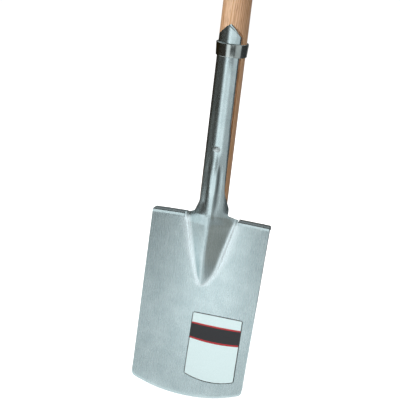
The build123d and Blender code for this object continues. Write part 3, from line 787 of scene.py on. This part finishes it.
floor_tone = add(tree, "ShaderNodeMix",
                 [("data_type", "RGBA"), (6, linear("#6E6E6E")), (7, linear("#CFCFCF"))],
                 i0=(rays, "Is Camera Ray"))
matt = add(tree, "ShaderNodeBsdfDiffuse", Color=(floor_tone, 2))
both = add(tree, "ShaderNodeAddShader", i0=(glow, 0), i1=(matt, 0))
add(tree, "ShaderNodeOutputMaterial", Surface=(both, 0))
floor.data.materials.append(pale_floor)


# Studio room: white all round to the camera and to bright metal, and an even soft light on the object.
ROOM_LIGHT = 0.42
world = bpy.data.worlds.new("studio_room")
bpy.context.scene.world = world
tree = empty_tree(world)
rays = add(tree, "ShaderNodeLightPath")
camera_or_gloss = add(tree, "ShaderNodeMath", [("operation", "MAXIMUM")],
                      i0=(rays, "Is Camera Ray"), i1=(rays, "Is Glossy Ray"))
seen = add(tree, "ShaderNodeMath", [("operation", "MAXIMUM")],
           i0=(camera_or_gloss, 0), i1=(rays, "Is Transmission Ray"))
level = add(tree, "ShaderNodeMapRange", [(3, ROOM_LIGHT), (4, 1.0)], Value=(seen, 0))
room = add(tree, "ShaderNodeBackground", [("Color", WHITE)], Strength=(level, 0))
add(tree, "ShaderNodeOutputWorld", Surface=(room, 0))


# Softboxes: a key from the front left, a weaker fill from the right and one behind for the back. Each line
# gives azimuth and elevation in degrees, distance, width and height in metres, and watts.
SOFTBOXES = (
    ("key_softbox", -42.0, 38.0, 2.4, 1.2, 1.2, 48.0),
    ("fill_softbox", 40.0, 30.0, 2.6, 1.4, 1.4, 20.0),
    ("back_softbox", 195.0, 40.0, 2.6, 1.6, 1.6, 30.0),
)
SOFTBOX_AIM = Vector((0.0, SHAFT_BACK, 330.0)) * MM
for name, azimuth, elevation, distance, width, height, watts in SOFTBOXES:
    a, e = math.radians(azimuth), math.radians(elevation)
    away = Vector((math.sin(a) * math.cos(e), -math.cos(a) * math.cos(e), math.sin(e)))
    lamp = bpy.data.lights.new(name, "AREA")
    lamp.shape = "RECTANGLE"
    lamp.size = width
    lamp.size_y = height
    lamp.energy = watts
    box = bpy.data.objects.new(name, lamp)
    bpy.context.scene.collection.objects.link(box)
    box.location = SOFTBOX_AIM + away * distance
    box.rotation_euler = away.to_track_quat("Z", "Y").to_euler()
    box.visible_camera = False
    box.visible_glossy = False


# Cards: white, grey and black boards that stand round the set, lie on its floor and hang over it, out of the
# camera's sight, for the metal to mirror. They show only in reflections and throw no shadow.
CARD_FOLDS = 16


def card(name, from_azimuth, to_azimuth, level, colour, low_edge, high_edge):
    """A board round the shaft's axis. Each edge is (distance, height), in millimetres."""
    bpy.ops.object.select_all(action="DESELECT")
    bpy.ops.mesh.primitive_grid_add(x_subdivisions=CARD_FOLDS, y_subdivisions=1, size=2.0)
    board = bpy.context.object
    board.name = name
    for point in board.data.vertices:
        a = math.radians(from_azimuth + (point.co.x + 1.0) / 2.0 * (to_azimuth - from_azimuth))
        distance, z = low_edge if point.co.y < 0.0 else high_edge
        point.co = Vector((math.sin(a) * distance, SHAFT_BACK - math.cos(a) * distance, z)) * MM
    finish = bpy.data.materials.new(name + "_paint")
    tree = empty_tree(finish)
    paint = add(tree, "ShaderNodeEmission", [("Color", linear(colour)), ("Strength", level)])
    add(tree, "ShaderNodeOutputMaterial", Surface=(paint, 0))
    board.data.materials.append(finish)
    board.visible_camera = False
    board.visible_diffuse = False
    board.visible_shadow = False
    board.visible_transmission = False


# Each line gives the name, the azimuths from and to in degrees, the distance, the heights of the lower and the
# upper edge, the brightness and the colour.
STANDING_CARDS = (
    ("left_black_card", -95.0, -150.0, 450.0, 110.0, 650.0, 0.02, "#FFBC00"),
    ("left_side_card", -72.0, -95.0, 450.0, 126.0, 650.0, 0.02, "#FFBC00"),
    ("left_middle_card", -48.0, -72.0, 450.0, 165.0, 650.0, 0.02, "#FFBC00"),
    ("left_front_card", -27.0, -48.0, 450.0, 215.0, 650.0, 0.02, "#FFBC00"),
    ("right_foot_card", 81.0, 104.0, 445.0, 145.0, 250.0, 0.36, "#FFFFFF"),
    ("left_white_card", -68.0, -34.0, 1500.0, 0.0, 900.0, 1.5, "#FFFFFF"),
    ("right_low_card", 36.0, 86.0, 450.0, 0.0, 150.0, 0.34, "#FFF6EA"),
    ("right_grey_card", 44.0, 81.0, 450.0, 150.0, 385.0, 0.60, "#FFFFFF"),
    ("right_high_card", 44.0, 84.0, 450.0, 385.0, 520.0, 0.78, "#FFFFFF"),
    ("right_black_card", 81.0, 150.0, 450.0, 0.0, 760.0, 0.06, "#FFFFFF"),
    ("right_dark_card", 81.0, 150.0, 447.0, 310.0, 382.0, 0.25, "#FFFFFF"),
    ("right_end_card", 150.0, 215.0, 450.0, 0.0, 290.0, 0.03, "#FFFFFF"),
    ("back_grey_card", 150.0, 215.0, 450.0, 290.0, 900.0, 0.28, "#FFFFFF"),
    ("front_black_card", -8.5, 12.0, 3300.0, 0.0, 1900.0, 0.11, "#FFFFFF"),
    ("front_right_card", 12.0, 36.0, 3300.0, 400.0, 1900.0, 0.03, "#FFFFFF"),
    ("back_white_card", 170.0, 216.0, 3000.0, 250.0, 2200.0, 1.3, "#FFFFFF"),
    ("ring_front_card", 1.0, 36.0, 140.0, 474.0, 500.0, 0.03, "#FFFFFF"),
    ("point_white_card", -8.0, 36.0, 140.0, 502.0, 544.0, 1.25, "#FFFFFF"),
    ("front_white_card", -19.5, -8.5, 4600.0, 0.0, 1600.0, 1.9, "#FFFFFF"),
    ("front_grey_card", -52.0, -19.5, 4600.0, 0.0, 2600.0, 0.18, "#FFFFFF"),
)
for name, from_azimuth, to_azimuth, distance, low, high, level, colour in STANDING_CARDS:
    card(name, from_azimuth, to_azimuth, level, colour, (distance, low), (distance, high))

# Each line gives the name, the azimuths from and to in degrees, the distances of the near and the far edge, the
# height and the brightness.
LYING_CARDS = (
    ("front_white_sheet", -22.0, 28.0, 1500.0, 4500.0, 2.0, 1.45),
    ("front_left_sheet", -60.0, -22.0, 1500.0, 4500.0, 2.0, 0.95),
    ("middle_white_sheet", -60.0, 28.0, 900.0, 1500.0, 2.0, 1.65),
    ("front_grey_sheet", 28.0, 46.0, 900.0, 4500.0, 2.0, 0.58),
    ("right_near_sheet", -6.0, 36.0, 820.0, 900.0, 2.0, 1.5),
    ("right_dark_sheet", 36.0, 100.0, 170.0, 900.0, 2.0, 0.42),
    ("near_grey_sheet", -22.0, 36.0, 60.0, 480.0, 2.0, 0.85),
    ("left_grey_sheet", -115.0, -78.0, 780.0, 1400.0, 2.0, 1.25),
    ("left_bright_sheet", -78.0, -60.0, 560.0, 1400.0, 2.0, 1.35),
    ("ridge_grey_sheet", -25.0, 36.0, 480.0, 820.0, 2.0, 0.55),
    ("left_middle_sheet", -60.0, -25.0, 560.0, 900.0, 2.0, 0.92),
    ("overhead_black_card", -70.0, 70.0, 10.0, 2600.0, 2000.0, 0.03),
    ("overhead_back_card", 110.0, 250.0, 10.0, 1500.0, 2000.0, 0.03),
)
for name, from_azimuth, to_azimuth, near, far, height, level in LYING_CARDS:
    card(name, from_azimuth, to_azimuth, level, "#FFFFFF", (near, height), (far, height))


# Camera: a long lens from the front right, a little above the blade, turned as the photograph is.
CAMERA_AZIMUTH = math.radians(12.849)
CAMERA_ELEVATION = math.radians(14.153)
CAMERA_ROLL = math.radians(6.794)
CAMERA_DISTANCE = 2335.24
CAMERA_AIM = Vector((-20.206, 35.54, 288.93))
CAMERA_FOCAL_LENGTH = 144.04
CAMERA_SENSOR = 36.0
CAMERA_SEES_TO = 100000.0
back = Vector((math.sin(CAMERA_AZIMUTH) * math.cos(CAMERA_ELEVATION),
               -math.cos(CAMERA_AZIMUTH) * math.cos(CAMERA_ELEVATION), math.sin(CAMERA_ELEVATION)))
level_right = Vector((math.cos(CAMERA_AZIMUTH), math.sin(CAMERA_AZIMUTH), 0.0))
level_up = back.cross(level_right)
right = level_right * math.cos(CAMERA_ROLL) + level_up * math.sin(CAMERA_ROLL)
up = level_up * math.cos(CAMERA_ROLL) - level_right * math.sin(CAMERA_ROLL)
lens = bpy.data.cameras.new("studio_camera")
lens.sensor_fit = "HORIZONTAL"
lens.sensor_width = CAMERA_SENSOR
lens.lens = CAMERA_FOCAL_LENGTH
lens.clip_end = CAMERA_SEES_TO * MM
camera = bpy.data.objects.new("studio_camera", lens)
bpy.context.scene.collection.objects.link(camera)
turned = Matrix((right, up, back)).transposed().to_4x4()
camera.matrix_world = Matrix.Translation((CAMERA_AIM + back * CAMERA_DISTANCE) * MM) @ turned
bpy.context.scene.camera = camera
bpy.context.scene.view_settings.view_transform = "Standard"
